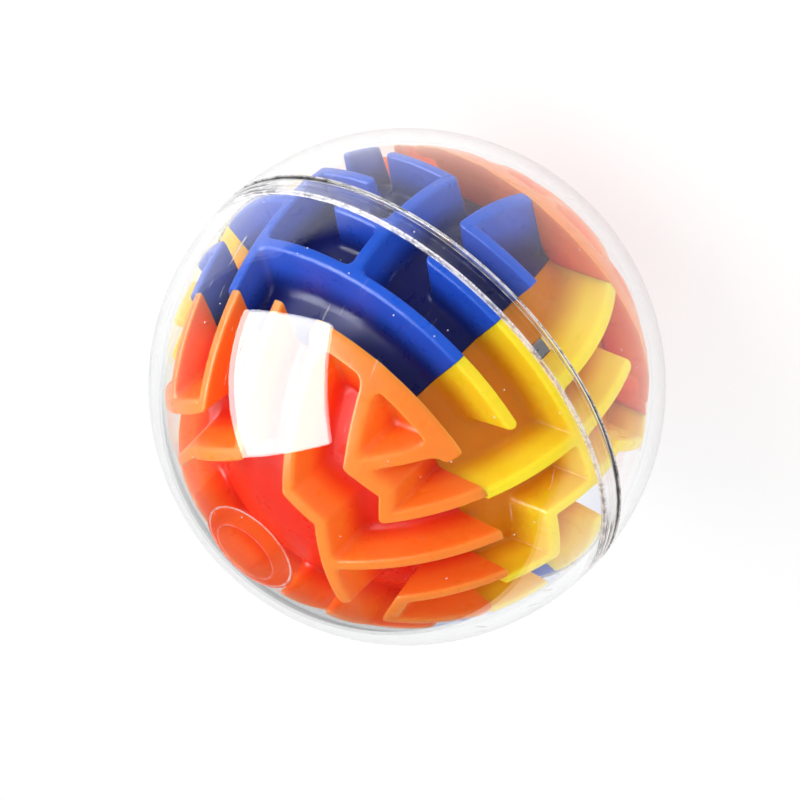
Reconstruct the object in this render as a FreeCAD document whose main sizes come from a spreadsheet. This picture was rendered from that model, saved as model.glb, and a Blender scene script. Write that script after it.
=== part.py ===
# Ball maze: a clear two-part shell round a fixed globe of maze walls, with one steel ball between them.
# Frame: millimetres, origin at the centre of the ball, +Z through the front pole.
# The globe is six mouldings: a cap round each pole and a belt of four quarters between them.
# The walls of a moulding all stand along its own draw direction, so it can leave a two-part mould.
import FreeCAD, Part
import math
import os

V = FreeCAD.Vector
doc = FreeCAD.newDocument("BallMaze")

# --- driving sizes -------------------------------------------------------------------------------
SIZES = (
    ("shell_radius", 27.5, "outside of the clear ball"),
    ("shell_inside", 26.1, "inside of the clear ball"),
    ("pole_flat_height", 27.26, "height of the flat outside each pole, above the centre"),
    ("pole_pad_height", 25.6, "height of the flat pad inside each pole"),
    ("groove_radius", 0.35, "half-round groove along the parting line"),
    ("lip_height", 1.9, "rear lip above the parting line"),
    ("lip_root", 0.8, "rear lip below the parting line"),
    ("lip_outside", 26.75, "outer radius of the rear lip"),
    ("lip_inside", 25.8, "inner radius of the rear lip, close round the globe"),
    ("socket_radius", 26.8, "socket of the front half, round the lip"),
    ("socket_depth", 2.0, "depth of that socket"),
    ("key_width", 1.5, "locating key in the socket"),
    ("key_low", 0.35, "bottom of the key above the parting line"),
    ("notch_width", 1.7, "notch in the lip, round the key"),
    ("notch_low", 0.25, "bottom of the notch above the parting line"),
    ("wall_radius", 25.75, "crests of the maze walls"),
    ("floor_radius", 21.4, "channel floors of the globe"),
    ("hollow_radius", 19.9, "inside of the hollow globe"),
    ("cap_border", 12.75, "height where each cap meets the belt"),
    ("grid_pitch", 5.9, "spacing of the maze grid"),
    ("wall_top", 1.25, "wall thickness at wall_crest"),
    ("wall_foot", 1.7, "wall thickness at wall_root"),
    ("wall_crest", 26.0, "height where the drafted walls are cut off, outside the globe"),
    ("wall_root", 11.0, "height where the drafted walls start, inside the globe"),
    ("rim_inside", 21.1, "inner radius of the rim wall along a cap's border"),
    ("rim_outside", 22.38, "outer radius of the rim wall along a cap's border"),
    ("ledge_thickness", 0.9, "flat ledge that closes the pockets behind a rim wall"),
    ("spigot_outside", 15.15, "locating ring under a cap, outer radius"),
    ("spigot_inside", 13.95, "locating ring under a cap, inner radius"),
    ("spigot_low", 10.9, "bottom of the locating ring"),
    ("spigot_high", 14.2, "top of the locating ring, inside the cap's floor"),
    ("flange_radius", 17.5, "inner edge of the flanges that join the belt quarters"),
    ("flange_thickness", 1.2, "thickness of those flanges"),
    ("flange_reach", 8.0, "half height of those flanges"),
    ("peg_radius", 0.75, "pegs of a flange"),
    ("peg_hole_radius", 0.85, "holes that take the pegs"),
    ("peg_length", 1.1, "peg beyond its flange"),
    ("peg_circle", 18.0, "distance of the pegs from the Z axis"),
    ("peg_height", 4.0, "height of the pegs above and below the equator"),
    ("ball_radius", 1.9, "steel ball"),
    ("ball_orbit", 23.26, "distance of the ball's centre from the Z axis"),
    ("ball_latitude", 4.81, "height of the channel that the ball rolls along"),
    ("clear_over", 32.0, "half size of the blocks that trim the ball, beyond the shell"),
)
sheet = doc.addObject("Spreadsheet::Sheet", "Sizes")
for row, (alias, value, note) in enumerate(SIZES, start=1):
    sheet.set(f"A{row}", alias)
    sheet.set(f"B{row}", str(value))
    sheet.set(f"C{row}", note)
    sheet.setAlias(f"B{row}", alias)
doc.recompute()

# --- maze plans ----------------------------------------------------------------------------------
# Each wall is a line of points in grid steps, in the plan seen along its moulding's draw direction.
OUT = 4.2    # a wall that ends here runs off the moulding's edge
CAP_PLAN = (
    ((-2.05, OUT), (-2.05, 1.65)),
    ((-1.05, OUT), (-1.05, 2.2), (-1.3, 2.05), (-2.05, 1.65), (-2.85, 1.25)),
    ((-0.05, OUT), (-0.05, 1.8), (-1.3, 1.3), (-1.75, 0.85)),
    ((0.95, OUT), (0.95, 1.4), (1.5, 0.9), (1.5, -0.95)),
    ((1.95, 3.1), (1.95, 1.9), (2.5, 1.4), (2.5, 0.95), (OUT, 0.95)),
    ((1.95, 1.9), (OUT, 1.9)),
    ((1.5, 0.0), (OUT, 0.0)),
    ((OUT, -0.97), (2.4, -0.97), (1.95, -1.65), (2.95, -2.1)),
    ((-1.75, -0.15), (-1.75, -1.0), (-1.05, -1.6), (-1.05, -OUT)),
    ((-OUT, -0.15), (-1.75, -0.15)),
    ((-OUT, -1.1), (-2.7, -1.1)),
    ((-0.05, -1.65), (-0.05, -OUT)),
    ((-2.05, -2.05), (-2.05, -OUT)),
    ((0.95, -1.65), (0.95, -2.75)),
    ((0.4, -2.75), (1.9, -2.75)),
)
# Rim walls along a cap's border, from and to, in degrees.
FRONT_RIMS = ((28.5, 77.0), (196.0, 232.0))
REAR_RIMS = ((-7.0, 100.0), (196.0, 232.0))
# The inner corner of the ledge behind a cap's longer rim wall, in grid steps; two walls stand over its sides.
FRONT_LEDGE = (0.95, 1.9)
REAR_LEDGE = (-0.05, 0.0)
BLUE_PLAN = (
    ((-OUT, 1.3), (1.15, 1.3)),
    ((1.15, OUT), (1.15, -0.5), (0.1, -0.5)),
    ((-0.9, 1.3), (-0.9, -1.4), (0.45, -1.4)),
    ((-0.9, 0.28), (0.2, 0.28)),
    ((-OUT, 0.33), (-1.85, 0.33)),
    ((-OUT, -0.65), (-1.8, -0.65), (-1.8, -OUT)),
    ((2.2, OUT), (2.2, 1.3), (OUT, 1.3)),
    ((1.15, 0.3), (OUT, 0.3)),
    ((1.3, -1.3), (1.3, -1.9)),
)
YELLOW_PLAN = (
    ((OUT, 1.3), (1.8, 1.3)),
    ((OUT, 0.33), (0.9, 0.33), (0.9, OUT)),
    ((0.9, 0.33), (-0.1, 0.33), (-0.1, 1.3), (-1.15, 1.3), (-1.15, OUT)),
    ((1.83, 0.33), (1.83, -OUT)),
    ((0.9, 0.33), (0.95, -1.5)),
    ((-0.1, 0.33), (0.05, -0.4), (-0.7, -1.25)),
    ((-OUT, 0.3), (-1.15, 0.3)),
    ((-1.15, -1.65), (-1.15, -OUT)),
    ((-2.2, OUT), (-2.2, 1.3)),
)
KEY_ANGLES = (34.5, 154.5, 274.5)    # locating keys round the seam
BALL_REST_ANGLE = 225.0              # where the steel ball lies, round the Z axis


# --- building blocks -----------------------------------------------------------------------------
def bind(obj, **expressions):
    """Bind properties of an object to the sheet; a double underscore stands for a dot."""
    for name, expression in expressions.items():
        obj.setExpression(name.replace("__", "."), expression)
    return obj


def size(alias):
    return f"Sizes.{alias}"


def ball(name, radius):
    return bind(doc.addObject("Part::Sphere", name), Radius=radius)


def disc(name, radius, low, high):
    """A cylinder on the Z axis between two heights."""
    obj = bind(doc.addObject("Part::Cylinder", name), Radius=radius, Height=f"({high}) - ({low})")
    return bind(obj, Placement__Base__z=low)


def combine(kind, name, members):
    obj = doc.addObject(kind, name)
    obj.Shapes = members
    return obj


def fuse(name, members):
    return combine("Part::MultiFuse", name, members)


def common(name, members):
    return combine("Part::MultiCommon", name, members)


def cut(name, base, tool):
    obj = doc.addObject("Part::Cut", name)
    obj.Base = base
    obj.Tool = tool
    return obj


def ring(name, inside, outside, low, high):
    return cut(name, disc(name + "_outer", outside, low, high), disc(name + "_inner", inside, low, high))


# --- clear shell ---------------------------------------------------------------------------------
def half_ball(name, low, high):
    """The hollow ball between two heights, with a flat outside each pole and a flat pad inside it."""
    flat, pad, over = size("pole_flat_height"), size("pole_pad_height"), size("clear_over")
    skin = common(name + "_skin", [
        ball(name + "_outside", size("shell_radius")),
        disc(name + "_flats", over, f"-{flat}", flat),
        disc(name + "_half", over, low, high),
    ])
    space = common(name + "_space", [
        ball(name + "_inside", size("shell_inside")),
        disc(name + "_pads", over, f"-{pad}", pad),
    ])
    groove = doc.addObject("Part::Torus", name + "_groove")
    bind(groove, Radius1=size("shell_radius"), Radius2=size("groove_radius"))
    return cut(name + "_dome", cut(name + "_bowl", skin, space), groove)


def seam_blocks(name, start, end, width, low, high):
    """Small blocks across the lip, one at each locating key, between two distances from the Z axis."""
    blocks = []
    for number, angle in enumerate(KEY_ANGLES, start=1):
        block = doc.addObject("Part::Box", f"{name}_{number}")
        bind(block, Length=f"({end}) - ({start})", Width=width, Height=f"({high}) - ({low})")
        turn = FreeCAD.Rotation(V(0, 0, 1), angle)
        along, across = turn.multVec(V(1, 0, 0)), turn.multVec(V(0, 1, 0))
        block.Placement = FreeCAD.Placement(V(0, 0, 0), turn)
        for axis in ("x", "y"):
            place = f"({start}) * {getattr(along, axis):.6f} - {width} / 2 * {getattr(across, axis):.6f}"
            block.setExpression("Placement.Base." + axis, place)
        bind(block, Placement__Base__z=low)
        blocks.append(block)
    return fuse(name, blocks)


def make_shell_front():
    dome = half_ball("front", "0", size("clear_over"))
    socket = disc("front_socket", size("socket_radius"), "-1", size("socket_depth"))
    start, end = f"{size('lip_inside')} + 0.1", f"{size('shell_radius')} - 0.4"
    top = f"{size('socket_depth')} + 0.3"
    keys = seam_blocks("front_keys", start, end, size("key_width"), size("key_low"), top)
    return fuse("shell_front", [cut("front_rim", dome, socket), keys])


def make_shell_rear():
    dome = half_ball("rear", f"-{size('clear_over')}", "0")
    inside, outside, root = size("lip_inside"), size("lip_outside"), f"-{size('lip_root')}"
    lip = ring("rear_lip", inside, outside, root, size("lip_height"))
    start, end = f"{inside} - 0.6", f"{size('shell_radius')} + 0.4"
    top = f"{size('lip_height')} + 1"
    notches = seam_blocks("rear_notches", start, end, size("notch_width"), size("notch_low"), top)
    return cut("shell_rear", fuse("rear_body", [dome, lip]), notches)


# --- maze mouldings ------------------------------------------------------------------------------
# A moulding is built with its draw direction along Z and its plan in X and Y, then turned to its place.
def wall_run(name, start, end):
    """One straight drafted wall between two grid points, half a thickness longer at each end."""
    across, up = end[0] - start[0], end[1] - start[1]
    length = f"{size('grid_pitch')} * {math.hypot(across, up):.5f}"
    foot, top = size("wall_foot"), size("wall_top")
    wedge = doc.addObject("Part::Wedge", name)
    bind(wedge, Ymin=size("wall_root"), Ymax=size("wall_crest"))
    bind(wedge, Xmin=f"-({length} + {foot}) / 2", Xmax=f"({length} + {foot}) / 2")
    bind(wedge, X2min=f"-({length} + {top}) / 2", X2max=f"({length} + {top}) / 2")
    bind(wedge, Zmin=f"-{foot} / 2", Zmax=f"{foot} / 2", Z2min=f"-{top} / 2", Z2max=f"{top} / 2")
    along = V(across, up, 0).normalize()
    side = along.cross(V(0, 0, 1))
    wedge.Placement = FreeCAD.Placement(V(0, 0, 0), FreeCAD.Rotation(along, V(0, 0, 1), side, "XYZ"))
    bind(wedge, Placement__Base__x=f"{size('grid_pitch')} * {(start[0] + end[0]) / 2:.5f}")
    bind(wedge, Placement__Base__y=f"{size('grid_pitch')} * {(start[1] + end[1]) / 2:.5f}")
    return wedge


def walls_of(name, plan):
    runs = []
    for number, line in enumerate(plan, start=1):
        for part, (start, end) in enumerate(zip(line, line[1:]), start=1):
            runs.append(wall_run(f"{name}_wall_{number}_{part}", start, end))
    return runs


def rim_wall(name, start, end):
    """A wall along the border of a cap, between two angles."""
    low, high = size("wall_root"), size("wall_crest")
    outer = disc(name + "_outer", size("rim_outside"), low, high)
    outer.Angle = end - start
    outer.Placement.Rotation = FreeCAD.Rotation(V(0, 0, 1), start)
    return cut(name, outer, disc(name + "_inner", size("rim_inside"), low, high))


def ledge(name, corner):
    """The flat floor of the pockets behind a rim wall, at the border."""
    over, pitch = size("clear_over"), size("grid_pitch")
    block = doc.addObject("Part::Box", name)
    bind(block, Length=over, Width=over, Height=size("ledge_thickness"))
    bind(block, Placement__Base__x=f"{pitch} * {corner[0]}", Placement__Base__y=f"{pitch} * {corner[1]}")
    return bind(block, Placement__Base__z=size("cap_border"))


def globe_part(name, walls, region, hollow):
    """The floor and the walls of one moulding, inside its region, less the hollow under the floor."""
    relief = fuse(name + "_relief", [ball(name + "_floor", size("floor_radius"))] + walls)
    solid = common(name + "_solid", [relief, ball(name + "_crests", size("wall_radius")), region])
    return cut(name + "_moulding", solid, hollow)


def make_cap(name, rim_angles, ledge_corner, placement):
    rims = [rim_wall(f"{name}_rim_{i}", start, end) for i, (start, end) in enumerate(rim_angles, start=1)]
    walls = walls_of(name, CAP_PLAN) + rims + [ledge(name + "_ledge", ledge_corner)]
    region = disc(name + "_region", size("clear_over"), size("cap_border"), size("clear_over"))
    hollow = ball(name + "_hollow", size("hollow_radius"))
    spigot = ring(name + "_spigot", size("spigot_inside"), size("spigot_outside"),
                  size("spigot_low"), size("spigot_high"))
    cap = fuse(name, [globe_part(name, walls, region, hollow), spigot])
    cap.Placement = placement
    return cap


def quarter_sector(name, inset):
    """The quarter of the belt round the draw direction, its two meridian sides moved in by inset."""
    sector = doc.addObject("Part::Cylinder", name)
    bind(sector, Radius=size("clear_over"), Height=f"2 * {size('cap_border')}")
    sector.Angle = 90.0
    half = math.sqrt(0.5)
    turn = FreeCAD.Rotation(V(-half, 0, half), V(half, 0, half), V(0, 1, 0), "XYZ")
    sector.Placement = FreeCAD.Placement(V(0, 0, 0), turn)
    bind(sector, Placement__Base__y=f"-{size('cap_border')}", Placement__Base__z=f"{inset} * sqrt(2)")
    return sector


def belt_hollow(name):
    """The space inside a quarter: down to the flanges beside its meridian sides, wider elsewhere."""
    hollow = size("hollow_radius")
    members = [
        ball(name + "_flange_edge", size("flange_radius")),
        common(name + "_middle", [
            ball(name + "_middle_ball", hollow),
            quarter_sector(name + "_middle_sector", size("flange_thickness")),
        ]),
    ]
    over, reach = size("clear_over"), size("flange_reach")
    for side, start in (("upper", reach), ("lower", f"-{over}")):
        block = doc.addObject("Part::Box", f"{name}_{side}_block")
        bind(block, Length=f"2 * {over}", Width=f"{over} - {reach}", Height=f"2 * {over}")
        bind(block, Placement__Base__x=f"-{over}", Placement__Base__y=start, Placement__Base__z=f"-{over}")
        members.append(common(f"{name}_{side}", [ball(f"{name}_{side}_ball", hollow), block]))
    return fuse(name + "_hollow", members)


def meridian_rods(name, side, radius, low, high):
    """Two rods square to a meridian side of a quarter, above and below the equator."""
    half = math.sqrt(0.5)
    outward = V(side * half, 0, -half)
    rods = []
    for number, sign in enumerate((1, -1), start=1):
        rod = bind(doc.addObject("Part::Cylinder", f"{name}_{number}"), Radius=radius)
        bind(rod, Height=f"({high}) - ({low})")
        rod.Placement = FreeCAD.Placement(V(0, 0, 0), FreeCAD.Rotation(V(0, 0, 1), outward))
        for axis, start in (("x", side * half), ("z", half)):
            place = f"{size('peg_circle')} * {start:.6f} + ({low}) * {getattr(outward, axis):.6f}"
            rod.setExpression("Placement.Base." + axis, place)
        bind(rod, Placement__Base__y=f"{sign} * {size('peg_height')}")
        rods.append(rod)
    return rods


def make_quarter(name, plan, placement):
    sector = quarter_sector(name + "_sector", "0")
    moulding = globe_part(name, walls_of(name, plan), sector, belt_hollow(name))
    pegs = meridian_rods(name + "_peg", 1, size("peg_radius"), "-0.6", size("peg_length"))
    through = f"-{size('flange_thickness')} - 0.3"
    holes = meridian_rods(name + "_hole", -1, size("peg_hole_radius"), through, "0.5")
    quarter = cut(name, fuse(name + "_pegged", [moulding] + pegs), fuse(name + "_holes", holes))
    quarter.Placement = placement
    return quarter


def make_steel_ball():
    """The ball lies half way along a belt channel; it rolls round the Z axis."""
    steel = ball("steel_ball", size("ball_radius"))
    angle = math.radians(BALL_REST_ANGLE)
    bind(steel, Placement__Base__x=f"{size('ball_orbit')} * {math.cos(angle):.6f}")
    bind(steel, Placement__Base__y=f"{size('ball_orbit')} * {math.sin(angle):.6f}")
    return bind(steel, Placement__Base__z=size("ball_latitude"))


def facing(angle):
    """Turns a quarter's draw direction to an angle round the Z axis, with its plan upright."""
    turn = math.radians(angle)
    outward, sideways = V(math.cos(turn), math.sin(turn), 0), V(-math.sin(turn), math.cos(turn), 0)
    return FreeCAD.Placement(V(0, 0, 0), FreeCAD.Rotation(sideways, V(0, 0, 1), outward, "XYZ"))


half_turn = FreeCAD.Placement(V(0, 0, 0), FreeCAD.Rotation(V(1, 1, 0), 180))
nodes = [
    make_shell_front(),
    make_shell_rear(),
    make_cap("orange_cap_front", FRONT_RIMS, FRONT_LEDGE, FreeCAD.Placement()),
    make_cap("orange_cap_rear", REAR_RIMS, REAR_LEDGE, half_turn),
    make_quarter("blue_segment_upper", BLUE_PLAN, facing(90)),
    make_quarter("blue_segment_lower", BLUE_PLAN, facing(270)),
    make_quarter("yellow_segment_right", YELLOW_PLAN, facing(0)),
    make_quarter("yellow_segment_left", YELLOW_PLAN, facing(180)),
    make_steel_ball(),
]
for node in nodes:
    node.Label = node.Name
doc.recompute()

# --- checks and export ---------------------------------------------------------------------------
for obj in doc.Objects:
    if "Invalid" in obj.State or "Error" in obj.State:
        raise RuntimeError(f"{obj.Label} failed: {obj.State}")
for node in nodes:
    if node.Shape.isNull() or not node.Shape.isValid():
        raise RuntimeError(f"{node.Label} has no valid shape")
    if len(node.Shape.Solids) != 1:
        raise RuntimeError(f"{node.Label} is {len(node.Shape.Solids)} solids")

os.makedirs("parts", exist_ok=True)
for node in nodes:
    node.Shape.exportStep(f"parts/{node.Label}.step")
    box = node.Shape.BoundBox
    print(f"{node.Label}: {node.Shape.Volume:.1f} mm3, z {box.ZMin:.2f} to {box.ZMax:.2f}")
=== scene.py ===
import math

import bmesh
import bpy
import numpy as np
from mathutils import Matrix, Vector
from mathutils.geometry import delaunay_2d_cdt


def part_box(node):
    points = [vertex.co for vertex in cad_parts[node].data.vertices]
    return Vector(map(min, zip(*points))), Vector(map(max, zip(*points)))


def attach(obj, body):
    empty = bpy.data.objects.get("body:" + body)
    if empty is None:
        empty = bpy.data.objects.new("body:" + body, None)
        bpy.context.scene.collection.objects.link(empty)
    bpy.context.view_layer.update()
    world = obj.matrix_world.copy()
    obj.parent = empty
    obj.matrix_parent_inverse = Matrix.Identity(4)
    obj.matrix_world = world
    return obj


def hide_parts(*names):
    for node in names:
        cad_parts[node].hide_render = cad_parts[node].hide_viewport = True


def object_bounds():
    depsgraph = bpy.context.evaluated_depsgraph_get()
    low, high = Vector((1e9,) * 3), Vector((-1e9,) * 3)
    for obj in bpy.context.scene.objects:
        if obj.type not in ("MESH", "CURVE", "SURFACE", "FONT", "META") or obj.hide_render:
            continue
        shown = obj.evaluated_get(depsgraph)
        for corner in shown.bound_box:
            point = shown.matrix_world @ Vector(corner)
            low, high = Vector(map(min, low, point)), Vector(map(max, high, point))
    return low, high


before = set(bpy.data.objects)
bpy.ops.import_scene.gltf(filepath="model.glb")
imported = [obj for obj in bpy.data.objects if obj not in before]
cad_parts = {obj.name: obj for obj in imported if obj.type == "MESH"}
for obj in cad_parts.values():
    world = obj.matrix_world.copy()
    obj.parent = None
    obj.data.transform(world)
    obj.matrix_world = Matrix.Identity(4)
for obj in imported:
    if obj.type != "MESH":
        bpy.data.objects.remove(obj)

CAD_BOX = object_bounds()
MM = 0.001
SHELL_BODY, BALL_BODY = "globe_and_shell", "rolling_ball"

# --- sizes, in millimetres, as in the CAD model ----------------------------------------------------
SHELL_RADIUS, SHELL_INSIDE = 27.5, 26.1
POLE_FLAT_HEIGHT, POLE_PAD_HEIGHT = 27.26, 25.6
GROOVE_RADIUS = 0.35
LIP_HEIGHT, LIP_ROOT = 1.9, 0.8
LIP_OUTSIDE, LIP_INSIDE, SOCKET_RADIUS = 26.75, 25.8, 26.8
SOCKET_DEPTH = 2.0
KEY_ANGLES, KEY_WIDTH, KEY_LOW = (34.5, 154.5, 274.5), 1.5, 0.35
NOTCH_WIDTH, NOTCH_LOW = 1.7, 0.25
CREST_RADIUS, FLOOR_RADIUS, HOLLOW_RADIUS = 25.75, 21.4, 19.9
CAP_BORDER = 12.75
PITCH = 5.9
WALL = 1.25             # thickness of a wall's crest
RIM_RADIUS = 21.74      # middle of the rim walls along a cap's border
LEDGE_TOP = CAP_BORDER + 0.9    # flat ledge that closes the pockets behind a cap's rim wall
BORDER_GAP = 0.03       # the mouldings stand this far inside their borders
CAP_HALF = 23.0         # half side of the plan square that a cap is cut from
QUARTER_HALF_WIDTH, QUARTER_HALF_HEIGHT = 19.4, 13.4    # half sides of a belt quarter's plan
BLANK_BASE = -1.0       # bottom of a moulding's blank, which the cuts take away

# The maze plans, in grid steps, seen along each moulding's draw direction.
OUT = 4.2
CAP_PLAN = (
    ((-2.05, OUT), (-2.05, 1.65)),
    ((-1.05, OUT), (-1.05, 2.2), (-1.3, 2.05), (-2.05, 1.65), (-2.85, 1.25)),
    ((-0.05, OUT), (-0.05, 1.8), (-1.3, 1.3), (-1.75, 0.85)),
    ((0.95, OUT), (0.95, 1.4), (1.5, 0.9), (1.5, -0.95)),
    ((1.95, 3.1), (1.95, 1.9), (2.5, 1.4), (2.5, 0.95), (OUT, 0.95)),
    ((1.95, 1.9), (OUT, 1.9)),
    ((1.5, 0.0), (OUT, 0.0)),
    ((OUT, -0.97), (2.4, -0.97), (1.95, -1.65), (2.95, -2.1)),
    ((-1.75, -0.15), (-1.75, -1.0), (-1.05, -1.6), (-1.05, -OUT)),
    ((-OUT, -0.15), (-1.75, -0.15)),
    ((-OUT, -1.1), (-2.7, -1.1)),
    ((-0.05, -1.65), (-0.05, -OUT)),
    ((-2.05, -2.05), (-2.05, -OUT)),
    ((0.95, -1.65), (0.95, -2.75)),
    ((0.4, -2.75), (1.9, -2.75)),
)
FRONT_RIMS = ((28.5, 77.0), (196.0, 232.0))
REAR_RIMS = ((-7.0, 100.0), (196.0, 232.0))
FRONT_LEDGE, REAR_LEDGE = (0.95, 1.9), (-0.05, 0.0)    # the ledge's inner corner
BLUE_PLAN = (
    ((-OUT, 1.3), (1.15, 1.3)),
    ((1.15, OUT), (1.15, -0.5), (0.1, -0.5)),
    ((-0.9, 1.3), (-0.9, -1.4), (0.45, -1.4)),
    ((-0.9, 0.28), (0.2, 0.28)),
    ((-OUT, 0.33), (-1.85, 0.33)),
    ((-OUT, -0.65), (-1.8, -0.65), (-1.8, -OUT)),
    ((2.2, OUT), (2.2, 1.3), (OUT, 1.3)),
    ((1.15, 0.3), (OUT, 0.3)),
    ((1.3, -1.3), (1.3, -1.9)),
)
YELLOW_PLAN = (
    ((OUT, 1.3), (1.8, 1.3)),
    ((OUT, 0.33), (0.9, 0.33), (0.9, OUT)),
    ((0.9, 0.33), (-0.1, 0.33), (-0.1, 1.3), (-1.15, 1.3), (-1.15, OUT)),
    ((1.83, 0.33), (1.83, -OUT)),
    ((0.9, 0.33), (0.95, -1.5)),
    ((-0.1, 0.33), (0.05, -0.4), (-0.7, -1.25)),
    ((-OUT, 0.3), (-1.15, 0.3)),
    ((-1.15, -1.65), (-1.15, -OUT)),
    ((-2.2, OUT), (-2.2, 1.3)),
)

# --- the section of a wall ---------------------------------------------------------------------------
WALL_HEIGHT = CREST_RADIUS - FLOOR_RADIUS
CREST_ROUND = 0.34      # radius along the edges of a crest
DRAFT_RUN = 0.26        # how far a side leans out on its way down
FOOT_ROUND = 0.75       # fillet between a side and the floor
JUNCTION_BLEND = 0.9    # how softly two walls run together in plan
CREST_STEPS = (-1.0, -0.72, -0.45, -0.22, -0.06, 0.0)
FOOT_STEPS = (0.0, 0.07, 0.25, 0.55, 1.0)
LEVELS = [CREST_ROUND * step for step in CREST_STEPS]
LEVELS += [DRAFT_RUN + FOOT_ROUND * step for step in FOOT_STEPS]
JOIN_REACH = 0.35       # a line that ends this close to another one joins it
FIELD_STEP = 0.2        # sampling of the wall outlines
FLOOR_STEP = 1.1        # spacing of the points on floors and crests
FLOOR_CLEAR, CREST_CLEAR = 0.35, 0.3    # how far those points keep from the outlines
CIRCLE_STEP = 0.6       # spacing of the points along a circle


def wall_lift(edge):
    """Share of the wall's height at a distance outside the edge of its crest."""
    edge = np.asarray(edge, float)
    top = 1 - CREST_ROUND / WALL_HEIGHT
    low = FOOT_ROUND / WALL_HEIGHT
    into_round = np.clip(edge + CREST_ROUND, 0, CREST_ROUND)
    crest = 1 - (CREST_ROUND - np.sqrt(CREST_ROUND ** 2 - into_round ** 2)) / WALL_HEIGHT
    side = top + (low - top) * np.clip(edge / DRAFT_RUN, 0, 1)
    to_floor = np.clip(DRAFT_RUN + FOOT_ROUND - edge, 0, FOOT_ROUND)
    foot = (FOOT_ROUND - np.sqrt(FOOT_ROUND ** 2 - to_floor ** 2)) / WALL_HEIGHT
    return np.where(edge <= 0, crest, np.where(edge < DRAFT_RUN, side, foot))


def segment_distance(points, start, end):
    """Distance of each point from a straight run of wall."""
    along = end - start
    share = np.clip(((points - start) @ along) / (along @ along), 0, 1)
    return np.linalg.norm(points - start - share[:, None] * along, axis=1)


def trimmed_lines(plan):
    """The plan in millimetres; a line that ends on another one stops at that wall's near side."""
    lines = [np.array(line, float) * PITCH for line in plan]
    result = []
    for line in lines:
        line = line.copy()
        for end, inner in ((0, 1), (-1, -2)):
            for other in lines:
                if other.shape == line.shape and np.allclose(other, line):
                    continue
                runs = zip(other, other[1:])
                nearest = min(segment_distance(line[end][None], a, b)[0] for a, b in runs)
                if nearest < JOIN_REACH and abs(line[end]).max() < OUT * PITCH - 1:
                    away = line[inner] - line[end]
                    line[end] = line[end] + away / np.linalg.norm(away) * (WALL / 2 - nearest)
                    break
        result.append(line)
    return result


def wall_edge_field(points, lines, rims):
    """Distance of each plan point outside the nearest crest, negative on a crest."""
    points = np.atleast_2d(points)
    total = np.full(len(points), 99.0)

    def blend(total, distance):
        share = np.clip(JUNCTION_BLEND - np.abs(total - distance), 0, None) / JUNCTION_BLEND
        return np.minimum(total, distance) - share ** 2 * JUNCTION_BLEND / 4

    for line in lines:
        distance = np.min([segment_distance(points, a, b) for a, b in zip(line, line[1:])], axis=0)
        total = blend(total, distance)
    for start, end in rims:
        angle = np.degrees(np.arctan2(points[:, 1], points[:, 0]))
        middle, half = (start + end) / 2, (end - start) / 2
        off = np.abs((angle - middle + 180) % 360 - 180)
        turns = np.radians((start, end))
        ends = RIM_RADIUS * np.stack([np.cos(turns), np.sin(turns)], 1)
        to_end = np.min([np.linalg.norm(points - e, axis=1) for e in ends], axis=0)
        on_arc = np.abs(np.linalg.norm(points, axis=1) - RIM_RADIUS)
        total = blend(total, np.where(off < half, on_arc, to_end))
    return total - WALL / 2


# --- outlines from the field -------------------------------------------------------------------------
CELL_SIDES = {    # which sides of a cell a level line joins, by its corners above the level
    1: ("ws",), 2: ("se",), 3: ("we",), 4: ("en",), 5: ("ws", "en"), 6: ("sn",), 7: ("wn",),
    8: ("wn",), 9: ("sn",), 10: ("wn", "se"), 11: ("en",), 12: ("we",), 13: ("se",), 14: ("ws",),
}


def level_lines(field, xs, ys, level):
    """Lines of points where the sampled field crosses a level."""
    above = field > level
    code = above[:-1, :-1] * 1 + above[:-1, 1:] * 2 + above[1:, 1:] * 4 + above[1:, :-1] * 8
    links = {}
    for j, i in zip(*np.nonzero((code > 0) & (code < 15))):
        sides = {"s": ("x", j, i), "n": ("x", j + 1, i), "w": ("y", j, i), "e": ("y", j, i + 1)}
        for pair in CELL_SIDES[int(code[j, i])]:
            a, b = sides[pair[0]], sides[pair[1]]
            links.setdefault(a, []).append(b)
            links.setdefault(b, []).append(a)

    def place(key):
        kind, j, i = key
        j2, i2 = (j, i + 1) if kind == "x" else (j + 1, i)
        share = (level - field[j, i]) / (field[j2, i2] - field[j, i])
        return (xs[i] + (xs[i2] - xs[i]) * share, ys[j] + (ys[j2] - ys[j]) * share)

    lines, seen = [], set()
    for first in sorted(links, key=lambda key: (len(links[key]), key)):
        if first in seen:
            continue
        chain, here = [first], first
        seen.add(first)
        while True:
            ahead = [key for key in links[here] if key not in seen]
            if not ahead:
                break
            here = ahead[0]
            seen.add(here)
            chain.append(here)
        points = [place(key) for key in chain]
        if len(links[first]) == 2 and first in links[chain[-1]]:
            points.append(points[0])
        lines.append(np.array(points))
    return lines


def simplified(line, tolerance=0.008, longest=1.0):
    """The line with the points that its shape needs, none further apart than longest."""
    keep = {0, len(line) - 1}
    if np.allclose(line[0], line[-1]):
        keep.add(int(np.argmax(np.linalg.norm(line - line[0], axis=1))))
    stops = sorted(keep)
    spans = list(zip(stops, stops[1:]))
    while spans:
        low, high = spans.pop()
        if high - low < 2:
            continue
        if np.allclose(line[low], line[high]):
            off = np.linalg.norm(line[low + 1:high] - line[low], axis=1)
        else:
            off = segment_distance(line[low + 1:high], line[low], line[high])
        worst = int(np.argmax(off))
        if off[worst] > tolerance:
            middle = low + 1 + worst
            keep.add(middle)
            spans += [(low, middle), (middle, high)]
    corners = line[sorted(keep)]
    points = [corners[0]]
    for start, end in zip(corners, corners[1:]):
        count = max(1, math.ceil(np.linalg.norm(end - start) / longest))
        points += [start + (end - start) * k / count for k in range(1, count + 1)]
    return np.array(points)


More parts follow.
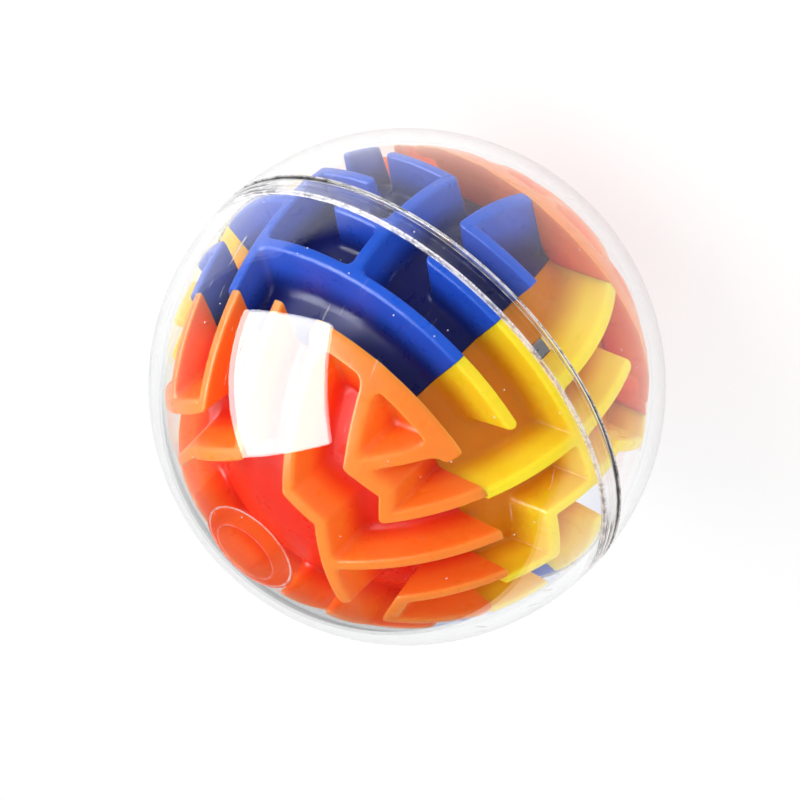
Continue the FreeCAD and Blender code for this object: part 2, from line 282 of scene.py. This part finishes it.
def with_ledge(points, edge, height, corner):
    """The heights with the ledge behind a rim wall, where the floor would lie lower."""
    reach = (points ** 2).sum(1)
    floor = np.sqrt(np.clip(FLOOR_RADIUS ** 2 - reach, 0, None))
    crest = np.sqrt(np.clip(CREST_RADIUS ** 2 - reach, 0, None))
    raised = LEDGE_TOP + (crest - LEDGE_TOP) * wall_lift(edge)
    inside = (points > np.array(corner) * PITCH).all(1) & (floor < LEDGE_TOP) & (crest > LEDGE_TOP)
    return np.where(inside, np.maximum(height, raised), height)


def relief_mesh(plan, rims, half_width, half_height, circles=(), ledge=None):
    """The face of a moulding over a plan rectangle: points with their heights, and triangles."""
    lines = trimmed_lines(plan)
    xs = np.linspace(-half_width, half_width, int(2 * half_width / FIELD_STEP) + 1)
    ys = np.linspace(-half_height, half_height, int(2 * half_height / FIELD_STEP) + 1)
    grid = np.stack(np.meshgrid(xs, ys), -1).reshape(-1, 2)
    field = wall_edge_field(grid, lines, rims).reshape(len(ys), len(xs))
    points, edges, known = [], [], []

    def add_line(line, level):
        start = len(points)
        closed = np.allclose(line[0], line[-1]) and len(line) > 3
        body = line[:-1] if closed else line
        points.extend(Vector(p) for p in body)
        known.extend([level] * len(body))
        edges.extend((start + k, start + k + 1) for k in range(len(body) - 1))
        if closed:
            edges.append((start + len(body) - 1, start))

    for level in LEVELS:
        for line in level_lines(field, xs, ys, level):
            if len(line) > 4:
                add_line(simplified(line), level)
    for radius in circles:
        turn = np.linspace(0, 2 * math.pi, int(2 * math.pi * radius / CIRCLE_STEP))
        add_line(radius * np.stack([np.cos(turn), np.sin(turn)], 1), None)
    corners = [(-half_width, -half_height), (half_width, -half_height),
               (half_width, half_height), (-half_width, half_height)]
    add_line(simplified(np.array(corners + corners[:1], float)), None)
    inner_x = np.arange(-half_width + FLOOR_STEP / 2, half_width - FIELD_STEP, FLOOR_STEP)
    inner_y = np.arange(-half_height + FLOOR_STEP / 2, half_height - FIELD_STEP, FLOOR_STEP)
    inner = np.stack(np.meshgrid(inner_x, inner_y), -1).reshape(-1, 2)
    edge = wall_edge_field(inner, lines, rims)
    for point in inner[(edge > LEVELS[-1] + FLOOR_CLEAR) | (edge < LEVELS[0] - CREST_CLEAR)]:
        points.append(Vector(point))
        known.append(None)
    flat, _, faces, origins, _, _ = delaunay_2d_cdt(points, edges, [], 0, 1e-5, True)
    plan_points = np.array([tuple(p) for p in flat])
    edge = wall_edge_field(plan_points, lines, rims)
    for index, sources in enumerate(origins):
        levels = [known[s] for s in sources if known[s] is not None]
        if levels:
            edge[index] = levels[0]
    radius = FLOOR_RADIUS + WALL_HEIGHT * wall_lift(edge)
    height = np.sqrt(np.clip(radius ** 2 - (plan_points ** 2).sum(1), 0, None))
    if ledge:
        height = with_ledge(plan_points, edge, height, ledge)
    return np.column_stack([plan_points, height]), faces


def moulding(points, faces, cuts):
    """A closed hollow moulding under a relief, trimmed by planes given as (point, outward normal)."""
    bm = bmesh.new()
    verts = [bm.verts.new(p) for p in points]
    for face in faces:
        if len(set(face)) > 2:
            bm.faces.new([verts[i] for i in face])
    bmesh.ops.recalc_face_normals(bm, faces=bm.faces[:])
    if sum(face.normal.z for face in bm.faces) < 0:
        bmesh.ops.reverse_faces(bm, faces=bm.faces[:])
    rim = [edge for edge in bm.edges if len(edge.link_faces) == 1]
    skirt = bmesh.ops.extrude_edge_only(bm, edges=rim)["geom"]
    base = [item for item in skirt if isinstance(item, bmesh.types.BMVert)]
    for vert in base:
        vert.co.z = BLANK_BASE
    bottom = [item for item in skirt if isinstance(item, bmesh.types.BMEdge)]
    bmesh.ops.triangle_fill(bm, edges=bottom, use_beauty=False)
    bmesh.ops.recalc_face_normals(bm, faces=bm.faces[:])
    old = set(bm.faces)
    turned = Matrix.Rotation(0.3, 4, (1, 2, 3))
    bmesh.ops.create_icosphere(bm, subdivisions=5, radius=HOLLOW_RADIUS, matrix=turned)
    bmesh.ops.reverse_faces(bm, faces=[face for face in bm.faces if face not in old])
    for point, normal in cuts:
        everything = bm.verts[:] + bm.edges[:] + bm.faces[:]
        cut = bmesh.ops.bisect_plane(bm, geom=everything, dist=1e-5, plane_co=point, plane_no=normal,
                                     clear_outer=True)["geom_cut"]
        rim = [item for item in cut if isinstance(item, bmesh.types.BMEdge)]
        bmesh.ops.triangle_fill(bm, edges=rim, use_beauty=True, normal=normal)
    bmesh.ops.remove_doubles(bm, verts=bm.verts[:], dist=1e-4)
    bmesh.ops.recalc_face_normals(bm, faces=bm.faces[:])
    return bm


def piece_from(bm, name, turn=None, sharp=48):
    """A shown piece from a mesh in millimetres, turned to its place."""
    mesh = bpy.data.meshes.new(name)
    bm.to_mesh(mesh)
    mesh.transform(Matrix.Scale(MM, 4) @ (turn or Matrix.Identity(4)))
    mesh.shade_smooth()
    mesh.set_sharp_from_angle(angle=math.radians(sharp))
    piece = bpy.data.objects.new(name, mesh)
    bpy.context.scene.collection.objects.link(piece)
    return piece


def facing(angle):
    """Turns a quarter's draw direction to an angle round the Z axis, with its plan upright."""
    turn = math.radians(angle)
    outward = Vector((math.cos(turn), math.sin(turn), 0))
    sideways = Vector((-math.sin(turn), math.cos(turn), 0))
    return Matrix((sideways, Vector((0, 0, 1)), outward)).transposed().to_4x4()


def cap_mesh(rims, ledge):
    """A cap's moulding, with points along the circles where its border meets floors and crests."""
    heights = ((FLOOR_RADIUS, CAP_BORDER), (CREST_RADIUS, CAP_BORDER), (FLOOR_RADIUS, LEDGE_TOP))
    circles = [math.sqrt(radius ** 2 - height ** 2) for radius, height in heights]
    points, faces = relief_mesh(CAP_PLAN, rims, CAP_HALF, CAP_HALF, circles, ledge)
    return moulding(points, faces, [(Vector((0, 0, CAP_BORDER + BORDER_GAP)), Vector((0, 0, -1)))])


def quarter_mesh(plan):
    """A belt quarter's moulding, cut at both borders and at its two meridian sides."""
    points, faces = relief_mesh(plan, (), QUARTER_HALF_WIDTH, QUARTER_HALF_HEIGHT)
    cuts = [(Vector((0, s * (CAP_BORDER - BORDER_GAP), 0)), Vector((0, s, 0))) for s in (1, -1)]
    cuts += [(Vector((0, 0, BORDER_GAP * 1.4)), Vector((s, 0, -1)).normalized()) for s in (1, -1)]
    return moulding(points, faces, cuts)


# --- the clear shell ---------------------------------------------------------------------------------
AROUND = 288                    # sections round the axis
NOTCH_SIDES = (0.996, 1.004)    # shares of a notch's half width where sections stand, close to its side
OUTSIDE_STEPS, INSIDE_STEPS = 84, 80    # points along a dome
PARTING_GAP = 0.02              # each half's face stands this far from the parting plane
LIP_CHAMFER, KEY_CHAMFER = 0.12, 0.12


def arc(radius, start, end, count):
    """Section points (distance from the axis, height) along a sphere, by elevation in degrees."""
    angles = np.radians(np.linspace(start, end, count))
    return [(radius * math.cos(a), radius * math.sin(a)) for a in angles]


def elevation(radius, height):
    return math.degrees(math.asin(height / radius))


def groove(side, count=6):
    """Half of the round groove along the parting line, from the outside inwards."""
    points = []
    for k in range(count + 1):
        turn = math.radians(90 * (1 - k / count))
        points.append((SHELL_RADIUS - GROOVE_RADIUS * math.cos(turn), side * GROOVE_RADIUS * math.sin(turn)))
    return points


def dome_outside(side):
    flat = elevation(SHELL_RADIUS, POLE_FLAT_HEIGHT)
    start = elevation(SHELL_RADIUS, GROOVE_RADIUS) + 0.1
    rounded = [(r, side * z) for r, z in arc(SHELL_RADIUS, flat, start, OUTSIDE_STEPS)]
    return [(0.0, side * POLE_FLAT_HEIGHT)] + rounded + groove(side)


def dome_inside(side, low):
    pad = elevation(SHELL_INSIDE, POLE_PAD_HEIGHT)
    start = elevation(SHELL_INSIDE, low)
    rounded = [(r, side * z) for r, z in arc(SHELL_INSIDE, start, pad, INSIDE_STEPS)]
    return rounded + [(0.0, side * POLE_PAD_HEIGHT)]


def front_section(_):
    """Section of the front half, the same at every angle round the axis."""
    outside = [(r, max(z, PARTING_GAP)) for r, z in dome_outside(1)]
    socket = [(SOCKET_RADIUS, PARTING_GAP), (SOCKET_RADIUS, SOCKET_DEPTH)]
    return outside + socket + dome_inside(1, SOCKET_DEPTH)


def rear_section(angle):
    """Section of the rear half, whose lip is lower at the notches round the keys."""
    in_notch = any(abs((angle - key + 180) % 360 - 180) * math.radians(SHELL_RADIUS) < NOTCH_WIDTH / 2
                   for key in KEY_ANGLES)
    top = NOTCH_LOW if in_notch else LIP_HEIGHT
    outside = [(r, min(z, -PARTING_GAP)) for r, z in dome_outside(-1)]
    lip = [(LIP_OUTSIDE, -PARTING_GAP), (LIP_OUTSIDE, top - LIP_CHAMFER),
           (LIP_OUTSIDE - LIP_CHAMFER, top), (LIP_INSIDE + LIP_CHAMFER, top),
           (LIP_INSIDE, top - LIP_CHAMFER), (LIP_INSIDE, -LIP_ROOT)]
    return outside + lip + dome_inside(-1, LIP_ROOT)


def turned_shell(section):
    """A closed shell of sections set round the Z axis."""
    half_notch = math.degrees(NOTCH_WIDTH / 2 / SHELL_RADIUS)
    angles = [360 * k / AROUND for k in range(AROUND)]
    angles += [key + s * half_notch * f for key in KEY_ANGLES for s in (1, -1) for f in NOTCH_SIDES]
    angles = sorted(angle % 360 for angle in angles)
    bm = bmesh.new()
    columns = []
    poles = {}
    for angle in angles:
        turn = math.radians(angle)
        column = []
        for index, (radius, height) in enumerate(section(angle)):
            if radius == 0:
                if index not in poles:
                    poles[index] = bm.verts.new((0, 0, height))
                column.append(poles[index])
            else:
                column.append(bm.verts.new((radius * math.cos(turn), radius * math.sin(turn), height)))
        columns.append(column)
    for here, there in zip(columns, columns[1:] + columns[:1]):
        for low, high in zip(range(len(here) - 1), range(1, len(here))):
            ring = [here[low], there[low], there[high], here[high]]
            ring = [v for k, v in enumerate(ring) if v is not ring[k - 1]]
            if len(set(ring)) > 2:
                bm.faces.new(ring)
    bmesh.ops.recalc_face_normals(bm, faces=bm.faces[:])
    return bm


def add_keys(bm):
    """The locating keys that stand in the socket."""
    low, high = KEY_LOW, SOCKET_DEPTH
    inner, outer = LIP_INSIDE + 0.1, SOCKET_RADIUS - 0.02
    for angle in KEY_ANGLES:
        place = Matrix.Rotation(math.radians(angle), 4, "Z")
        place = place @ Matrix.Translation(((inner + outer) / 2, 0, (low + high) / 2 - 0.02))
        place = place @ Matrix.Diagonal((outer - inner, KEY_WIDTH, high - low, 1))
        made = bmesh.ops.create_cube(bm, size=1.0, matrix=place)
        edges = list({edge for vert in made["verts"] for edge in vert.link_edges})
        known = set(bm.faces) - {face for vert in made["verts"] for face in vert.link_faces}
        bmesh.ops.bevel(bm, geom=edges, offset=KEY_CHAMFER, segments=2, affect="EDGES")
        for face in set(bm.faces) - known:
            face.material_index = 1


# --- materials ---------------------------------------------------------------------------------------
def new_material(name):
    material = bpy.data.materials.new(name)
    material.use_nodes = True
    tree = material.node_tree
    return material, tree, tree.nodes["Principled BSDF"]


def node(tree, kind, **settings):
    made = tree.nodes.new(kind)
    for key, value in settings.items():
        setattr(made, key, value)
    return made


def linked(tree, source, target):
    tree.links.new(source, target)


def noise(tree, where, scale, detail=3.0, roughness=0.5):
    made = node(tree, "ShaderNodeTexNoise")
    made.inputs["Scale"].default_value = scale
    made.inputs["Detail"].default_value = detail
    made.inputs["Roughness"].default_value = roughness
    linked(tree, where, made.inputs["Vector"])
    return made.outputs["Fac"]


def remap(tree, value, from_min, from_max, to_min, to_max):
    made = node(tree, "ShaderNodeMapRange")
    amounts = {"From Min": from_min, "From Max": from_max, "To Min": to_min, "To Max": to_max}
    for key, amount in amounts.items():
        made.inputs[key].default_value = amount
    linked(tree, value, made.inputs["Value"])
    return made.outputs["Result"]


def mixed(tree, factor, a, b, blend="MIX"):
    """A colour mix; a and b are colours or sockets, factor is a number or a socket."""
    made = node(tree, "ShaderNodeMix", data_type="RGBA", blend_type=blend)
    for value, socket in ((factor, made.inputs[0]), (a, made.inputs[6]), (b, made.inputs[7])):
        if isinstance(value, bpy.types.NodeSocket):
            linked(tree, value, socket)
        elif isinstance(value, tuple):
            socket.default_value = (*value, 1.0)
        else:
            socket.default_value = value
    return made.outputs[2]


def maths(tree, operation, a, b=0.0):
    made = node(tree, "ShaderNodeMath", operation=operation)
    for value, socket in ((a, made.inputs[0]), (b, made.inputs[1])):
        if isinstance(value, bpy.types.NodeSocket):
            linked(tree, value, socket)
        else:
            socket.default_value = value
    return made.outputs[0]


def bump(tree, height, strength, distance):
    made = node(tree, "ShaderNodeBump")
    made.inputs["Strength"].default_value = strength
    made.inputs["Distance"].default_value = distance
    linked(tree, height, made.inputs["Height"])
    return made.outputs["Normal"]


def maze_plastic(name, crest, side, floor, painted_shade_height, scatter):
    """Moulded gloss plastic with painted light and shade: crests painted lighter, and floors painted darker,
    as shade, over a set height above the floor.
    """
    material, tree, shader = new_material(name)
    where = node(tree, "ShaderNodeTexCoord").outputs["Object"]
    length = node(tree, "ShaderNodeVectorMath", operation="LENGTH")
    linked(tree, where, length.inputs[0])
    radius = length.outputs["Value"]
    # Painted shade and light: the colour runs from the dark floor colour, painted shade between the walls,
    # through the side colour to the lighter crest colour, painted light on the tops.
    low = remap(tree, radius, (FLOOR_RADIUS + 0.1) * MM, (FLOOR_RADIUS + painted_shade_height) * MM, 0.0, 1.0)
    high = remap(tree, radius, (CREST_RADIUS - 0.7) * MM, (CREST_RADIUS - 0.02) * MM, 0.0, 1.0)
    colour = mixed(tree, low, floor, side)
    colour = mixed(tree, high, colour, crest)
    cloud = remap(tree, noise(tree, where, 90.0, 4.0), 0.3, 0.7, 0.90, 1.06)
    grey = node(tree, "ShaderNodeCombineColor")
    for channel in grey.inputs:
        linked(tree, cloud, channel)
    colour = mixed(tree, 1.0, colour, grey.outputs[0], "MULTIPLY")
    linked(tree, colour, shader.inputs["Base Color"])
    grain = noise(tree, where, 420.0, 5.0, 0.6)
    linked(tree, remap(tree, grain, 0.3, 0.7, 0.24, 0.38), shader.inputs["Roughness"])
    linked(tree, bump(tree, grain, 0.25, 0.00006), shader.inputs["Normal"])
    shader.inputs["IOR"].default_value = 1.5
    shader.inputs["Specular IOR Level"].default_value = 0.3
    shader.inputs["Subsurface Weight"].default_value = scatter
    shader.inputs["Subsurface Radius"].default_value = (1.0, 0.35, 0.12)
    shader.inputs["Subsurface Scale"].default_value = 0.0024
    return material


def band(tree, value, middle, half, soft):
    """One inside a band of a value, falling to zero over a soft edge."""
    off = maths(tree, "ABSOLUTE", maths(tree, "SUBTRACT", value, middle))
    return remap(tree, off, half, half + soft, 1.0, 0.0)


def scratch_marks(tree, where):
    """Short hairline scratches that lie three ways, in scattered patches."""
    marks = None
    for turn, scale in (((0.4, 0.2, 0.9), 1.0), ((1.3, 0.8, 0.1), 1.3), ((0.2, 1.7, 0.5), 0.9)):
        mapping = node(tree, "ShaderNodeMapping")
        mapping.inputs["Rotation"].default_value = turn
        mapping.inputs["Scale"].default_value = (2400.0 * scale, 130.0, 150.0)
        linked(tree, where, mapping.inputs["Vector"])
        line = remap(tree, noise(tree, mapping.outputs["Vector"], 1.0, 1.0), 0.755, 0.79, 0.0, 1.0)
        marks = line if marks is None else maths(tree, "MAXIMUM", marks, line)
    patches = remap(tree, noise(tree, where, 75.0, 2.0), 0.54, 0.62, 0.0, 1.0)
    return maths(tree, "MULTIPLY", marks, patches)


def dust_specks(tree, where):
    """Small round specks, in scattered patches."""
    specks = node(tree, "ShaderNodeTexVoronoi", feature="F1")
    specks.inputs["Scale"].default_value = 620.0
    linked(tree, where, specks.inputs["Vector"])
    spot = remap(tree, specks.outputs["Distance"], 0.04, 0.075, 1.0, 0.0)
    sparse = remap(tree, noise(tree, where, 300.0, 1.0), 0.55, 0.60, 0.0, 1.0)
    return maths(tree, "MULTIPLY", spot, sparse)


def whitened_edges_and_painted_rims(tree, where):
    """How white the edges are: the lip's flat end and both edges of the groove are whitened, and the rims at
    the poles are painted reflections.
    """
    place = node(tree, "ShaderNodeSeparateXYZ")
    linked(tree, where, place.inputs[0])
    height = place.outputs["Z"]
    flat = node(tree, "ShaderNodeCombineXYZ")
    linked(tree, place.outputs["X"], flat.inputs["X"])
    linked(tree, place.outputs["Y"], flat.inputs["Y"])
    length = node(tree, "ShaderNodeVectorMath", operation="LENGTH")
    linked(tree, flat.outputs[0], length.inputs[0])
    lip = band(tree, height, (LIP_HEIGHT + 0.02) * MM, 0.12 * MM, 0.07 * MM)
    lip = maths(tree, "MULTIPLY", lip, remap(tree, length.outputs["Value"], 26.9 * MM, 27.1 * MM, 1.0, 0.0))
    rise = maths(tree, "ABSOLUTE", height)
    groove_edge = band(tree, rise, GROOVE_RADIUS * MM, 0.02 * MM, 0.05 * MM)
    groove_bed = remap(tree, rise, GROOVE_RADIUS * MM, (GROOVE_RADIUS + 0.03) * MM, 0.2, 0.0)
    outer = remap(tree, length.outputs["Value"], 27.0 * MM, 27.1 * MM, 0.0, 1.0)
    line = maths(tree, "MULTIPLY", maths(tree, "MAXIMUM", groove_edge, groove_bed), outer)
    white = maths(tree, "MAXIMUM", lip, line)
    # The rims at the poles: painted reflections, white lines where the pole flat and the pad would catch the
    # light.
    flat_rim = math.sqrt(SHELL_RADIUS ** 2 - POLE_FLAT_HEIGHT ** 2)
    pad_rim = math.sqrt(SHELL_INSIDE ** 2 - POLE_PAD_HEIGHT ** 2)
    for radius, half, low, high in ((flat_rim, 0.02, 0.0, 0.3), (pad_rim, 0.05, 0.55, 0.0)):
        rim = band(tree, length.outputs["Value"], radius * MM, half * MM, 0.12 * MM)
        side = remap(tree, rise, 26.2 * MM, 26.8 * MM, low, high)
        white = maths(tree, "MAXIMUM", white, maths(tree, "MULTIPLY", rim, side))
    uneven = remap(tree, noise(tree, where, 700.0, 4.0, 0.7), 0.36, 0.62, 0.25, 1.0)
    return maths(tree, "MULTIPLY", white, uneven)


def let_lamps_through(tree, surface):
    """Lamps and soft light pass straight through the clear plastic; only the eye sees it bend."""
    path = node(tree, "ShaderNodeLightPath")
    clear = node(tree, "ShaderNodeBsdfTransparent")
    clear.inputs["Color"].default_value = (0.98, 0.98, 0.98, 1.0)
    mix = node(tree, "ShaderNodeMixShader")
    bare = maths(tree, "MAXIMUM", path.outputs["Is Shadow Ray"], path.outputs["Is Diffuse Ray"])
    linked(tree, bare, mix.inputs[0])
    linked(tree, surface, mix.inputs[1])
    linked(tree, clear.outputs[0], mix.inputs[2])
    linked(tree, mix.outputs[0], tree.nodes["Material Output"].inputs["Surface"])


def clear_plastic(name):
    """Clear polished plastic with hairline scratches, a little dust, whitened seam edges and painted
    reflections along the rims at the poles.
    """
    material, tree, shader = new_material(name)
    where = node(tree, "ShaderNodeTexCoord").outputs["Object"]
    marks = scratch_marks(tree, where)
    # Painted reflections: the white rims at the poles come in here with the whitened edges, and whiten and
    # dull the plastic there.
    edge_white_and_rim_gleams = whitened_edges_and_painted_rims(tree, where)
    dull = maths(tree, "MAXIMUM", maths(tree, "MULTIPLY", marks, 0.6), dust_specks(tree, where))
    dull = maths(tree, "MAXIMUM", dull, edge_white_and_rim_gleams)
    linked(tree, remap(tree, dull, 0.0, 1.0, 0.0, 0.45), shader.inputs["Roughness"])
    linked(tree, remap(tree, dull, 0.0, 1.0, 1.0, 0.3), shader.inputs["Transmission Weight"])
    linked(tree, mixed(tree, dull, (0.985, 0.99, 0.995), (0.84, 0.79, 0.79)), shader.inputs["Base Color"])
    linked(tree, bump(tree, marks, 0.2, 0.00003), shader.inputs["Normal"])
    shader.inputs["IOR"].default_value = 1.49
    let_lamps_through(tree, shader.outputs[0])
    return material


def key_plastic(name):
    """The locating keys: the same plastic, grey where their rough moulded sides trap the light."""
    material, tree, shader = new_material(name)
    where = node(tree, "ShaderNodeTexCoord").outputs["Object"]
    grain = noise(tree, where, 1600.0, 4.0)
    linked(tree, remap(tree, grain, 0.3, 0.7, 0.25, 0.5), shader.inputs["Roughness"])
    linked(tree, mixed(tree, grain, (0.10, 0.11, 0.13), (0.32, 0.33, 0.36)), shader.inputs["Base Color"])
    shader.inputs["Transmission Weight"].default_value = 0.45
    shader.inputs["IOR"].default_value = 1.49
    let_lamps_through(tree, shader.outputs[0])
    return material


def polished_steel(name):
    material, tree, shader = new_material(name)
    where = node(tree, "ShaderNodeTexCoord").outputs["Object"]
    smear = noise(tree, where, 1500.0, 4.0)
    linked(tree, remap(tree, smear, 0.35, 0.7, 0.08, 0.2), shader.inputs["Roughness"])
    linked(tree, mixed(tree, smear, (0.60, 0.61, 0.63), (0.74, 0.74, 0.75)), shader.inputs["Base Color"])
    linked(tree, bump(tree, noise(tree, where, 2600.0, 2.0), 0.1, 0.00001), shader.inputs["Normal"])
    shader.inputs["Metallic"].default_value = 1.0
    return material


VIEW_AZIMUTH, VIEW_ELEVATION = math.radians(49.25), math.radians(29.55)    # where the camera stands
CARD_EDGE = (0.036, 0.070)    # how far toward the camera the floor starts and ends going dark to gloss


def floor_paint(name):
    """A pale studio floor, lit a little from below so that shadows stay soft.

    Gloss sees it dark on the camera's side of the ball, like a white card laid on a dark table.
    """
    material, tree, shader = new_material(name)
    where = node(tree, "ShaderNodeTexCoord").outputs["Object"]
    tone = mixed(tree, noise(tree, where, 9.0, 4.0), (0.15, 0.15, 0.153), (0.18, 0.18, 0.18))
    linked(tree, tone, shader.inputs["Base Color"])
    shader.inputs["Roughness"].default_value = 0.75
    shader.inputs["Emission Color"].default_value = (1.0, 1.0, 1.0, 1.0)
    shader.inputs["Emission Strength"].default_value = 0.80
    dark = node(tree, "ShaderNodeBsdfDiffuse")
    dark.inputs["Color"].default_value = (0.03, 0.03, 0.03, 1.0)
    reflected = node(tree, "ShaderNodeLightPath").outputs["Glossy Depth"]
    nearness = node(tree, "ShaderNodeVectorMath", operation="DOT_PRODUCT")
    linked(tree, node(tree, "ShaderNodeNewGeometry").outputs["Position"], nearness.inputs[0])
    nearness.inputs[1].default_value = (math.cos(VIEW_AZIMUTH), math.sin(VIEW_AZIMUTH), 0.0)
    off_card = remap(tree, nearness.outputs["Value"], CARD_EDGE[0], CARD_EDGE[1], 0.0, 1.0)
    mix = node(tree, "ShaderNodeMixShader")
    linked(tree, maths(tree, "MULTIPLY", maths(tree, "MINIMUM", reflected, 1.0), off_card), mix.inputs[0])
    linked(tree, shader.outputs[0], mix.inputs[1])
    linked(tree, dark.outputs[0], mix.inputs[2])
    linked(tree, mix.outputs[0], tree.nodes["Material Output"].inputs["Surface"])
    return material


# --- pieces ------------------------------------------------------------------------------------------
def finish_piece(piece, node_name, material, body=SHELL_BODY):
    piece.data.materials.append(material)
    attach(piece, body)
    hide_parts(node_name)


# Painted light and shade: each floor colour is a painted shade of its plastic and each crest colour a
# painted light on it; the side colour stands for the plastic itself.
ORANGE = maze_plastic("orange plastic", crest=(1.0, 0.26, 0.028), side=(1.0, 0.19, 0.014),
                      floor=(0.86, 0.022, 0.004), painted_shade_height=2.3, scatter=0.6)
BLUE = maze_plastic("blue plastic", crest=(0.006, 0.088, 0.60), side=(0.012, 0.072, 0.54),
                    floor=(0.002, 0.006, 0.11), painted_shade_height=2.5, scatter=0.03)
YELLOW = maze_plastic("yellow plastic", crest=(1.0, 0.74, 0.02), side=(0.98, 0.66, 0.014),
                      floor=(0.70, 0.22, 0.002), painted_shade_height=2.6, scatter=0.5)
CLEAR = clear_plastic("clear plastic")
KEY_GREY = key_plastic("key plastic")
STEEL = polished_steel("polished steel")

half_turn = Matrix.Rotation(math.pi, 4, Vector((1, 1, 0)))
mouldings = (
    (cap_mesh(FRONT_RIMS, FRONT_LEDGE), ORANGE, "orange_plastic", (
        ("orange_cap_front", Matrix.Identity(4)),)),
    (cap_mesh(REAR_RIMS, REAR_LEDGE), ORANGE, "orange_plastic", (
        ("orange_cap_rear", half_turn),)),
    (quarter_mesh(BLUE_PLAN), BLUE, "blue_plastic", (
        ("blue_segment_upper", facing(90)), ("blue_segment_lower", facing(270)))),
    (quarter_mesh(YELLOW_PLAN), YELLOW, "yellow_plastic", (
        ("yellow_segment_right", facing(0)), ("yellow_segment_left", facing(180)))),
)
for bm, material, slot, places in mouldings:
    for node_name, turn in places:
        finish_piece(piece_from(bm, node_name + "_moulding", turn), node_name, material)

front_mesh = turned_shell(front_section)
add_keys(front_mesh)
front_half = piece_from(front_mesh, "clear_front_half", sharp=30)
finish_piece(front_half, "shell_front", CLEAR)
front_half.data.materials.append(KEY_GREY)
rear_mesh = turned_shell(rear_section)
finish_piece(piece_from(rear_mesh, "clear_rear_half", sharp=30), "shell_rear", CLEAR)

ball_low, ball_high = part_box("steel_ball")
ball_mesh = bmesh.new()
bmesh.ops.create_icosphere(ball_mesh, subdivisions=5, radius=(ball_high - ball_low).z / 2 / MM)
ball_place = Matrix.Translation((ball_low + ball_high) / 2 / MM)
finish_piece(piece_from(ball_mesh, "steel_ball_polished", ball_place, sharp=60), "steel_ball",
             STEEL, BALL_BODY)

# --- stage -------------------------------------------------------------------------------------------
FLOOR_HALF = 4000       # half side of the floor, in millimetres
FLOOR_GAP = 0.02        # so that the floor and the rear pole flat are not one plane
floor_bm = bmesh.new()
bmesh.ops.create_grid(floor_bm, x_segments=2, y_segments=2, size=FLOOR_HALF)
floor = piece_from(floor_bm, "floor", Matrix.Translation((0, 0, CAD_BOX[0].z / MM - FLOOR_GAP)))
floor.data.materials.append(floor_paint("floor paint"))

# The camera looks down on the front pole, rolled so that the pole points to the lower left.
VIEW_ROLL = math.radians(-135.57)
CAMERA_DISTANCE = 0.330
AIM = Vector((-0.00075, -0.0014, 0))    # what the camera points at, in its own axes
to_camera = Vector((math.cos(VIEW_AZIMUTH) * math.cos(VIEW_ELEVATION),
                    math.sin(VIEW_AZIMUTH) * math.cos(VIEW_ELEVATION), math.sin(VIEW_ELEVATION)))
level_right = Vector((0, 0, 1)).cross(to_camera).normalized()
level_up = to_camera.cross(level_right)
camera_right = level_right * math.cos(VIEW_ROLL) + level_up * math.sin(VIEW_ROLL)
camera_up = to_camera.cross(camera_right)
camera_axes = Matrix((camera_right, camera_up, to_camera)).transposed()
camera_data = bpy.data.cameras.new("camera")
camera_data.lens, camera_data.sensor_width = 139.35, 36.0
camera_data.clip_start, camera_data.clip_end = 0.01, 20.0
camera = bpy.data.objects.new("camera", camera_data)
camera_place = camera_axes @ AIM + to_camera * CAMERA_DISTANCE
camera.matrix_world = Matrix.Translation(camera_place) @ camera_axes.to_4x4()
bpy.context.scene.collection.objects.link(camera)
bpy.context.scene.camera = camera


def softbox(name, direction, distance, width, height, radiance, **seen):
    """A rectangular light, placed by its direction in the camera's axes."""
    data = bpy.data.lights.new(name, "AREA")
    data.shape = "RECTANGLE"
    data.size, data.size_y = width, height
    data.energy = radiance * math.pi * width * height
    light = bpy.data.objects.new(name, data)
    place = camera_axes @ Vector(direction).normalized() * distance
    back = place.normalized()
    side = camera_up.cross(back).normalized()
    axes = Matrix((side, back.cross(side), back)).transposed()
    light.matrix_world = Matrix.Translation(place) @ axes.to_4x4()
    for key, value in seen.items():
        setattr(light, key, value)
    bpy.context.scene.collection.objects.link(light)
    return light


KEY_DIRECTION = (-0.85, 0.02, 0.53)
softbox("key", KEY_DIRECTION, 0.36, 0.32, 0.36, 2.0, visible_glossy=False, visible_transmission=False)
softbox("key_gleam", KEY_DIRECTION, 0.359, 0.31, 0.35, 13.0, visible_diffuse=False)
softbox("fill", (0.45, 0.60, 0.66), 0.70, 0.60, 0.60, 1.7, visible_glossy=False, visible_transmission=False)

# Soft light comes from all round; what gloss reflects is dark round the camera and bright beyond the ball.
SOFT_LIGHT = 1.05
world = bpy.data.worlds.new("studio")
world.use_nodes = True
world.cycles.sampling_method = "NONE"
room = world.node_tree
aimed = node(room, "ShaderNodeVectorMath", operation="DOT_PRODUCT")
linked(room, node(room, "ShaderNodeTexCoord").outputs["Generated"], aimed.inputs[0])
aimed.inputs[1].default_value = (to_camera * 0.85 - camera_up * 0.5).normalized()
gradient = remap(room, aimed.outputs["Value"], -0.95, -0.15, 1.0, 0.03)
is_diffuse = node(room, "ShaderNodeLightPath").outputs["Is Diffuse Ray"]
strength = maths(room, "MAXIMUM", gradient, maths(room, "MULTIPLY", is_diffuse, SOFT_LIGHT))
linked(room, strength, room.nodes["Background"].inputs["Strength"])
room.nodes["Background"].inputs["Color"].default_value = (1.0, 1.0, 1.0, 1.0)
bpy.context.scene.world = world
bpy.context.scene.view_settings.view_transform = "Standard"
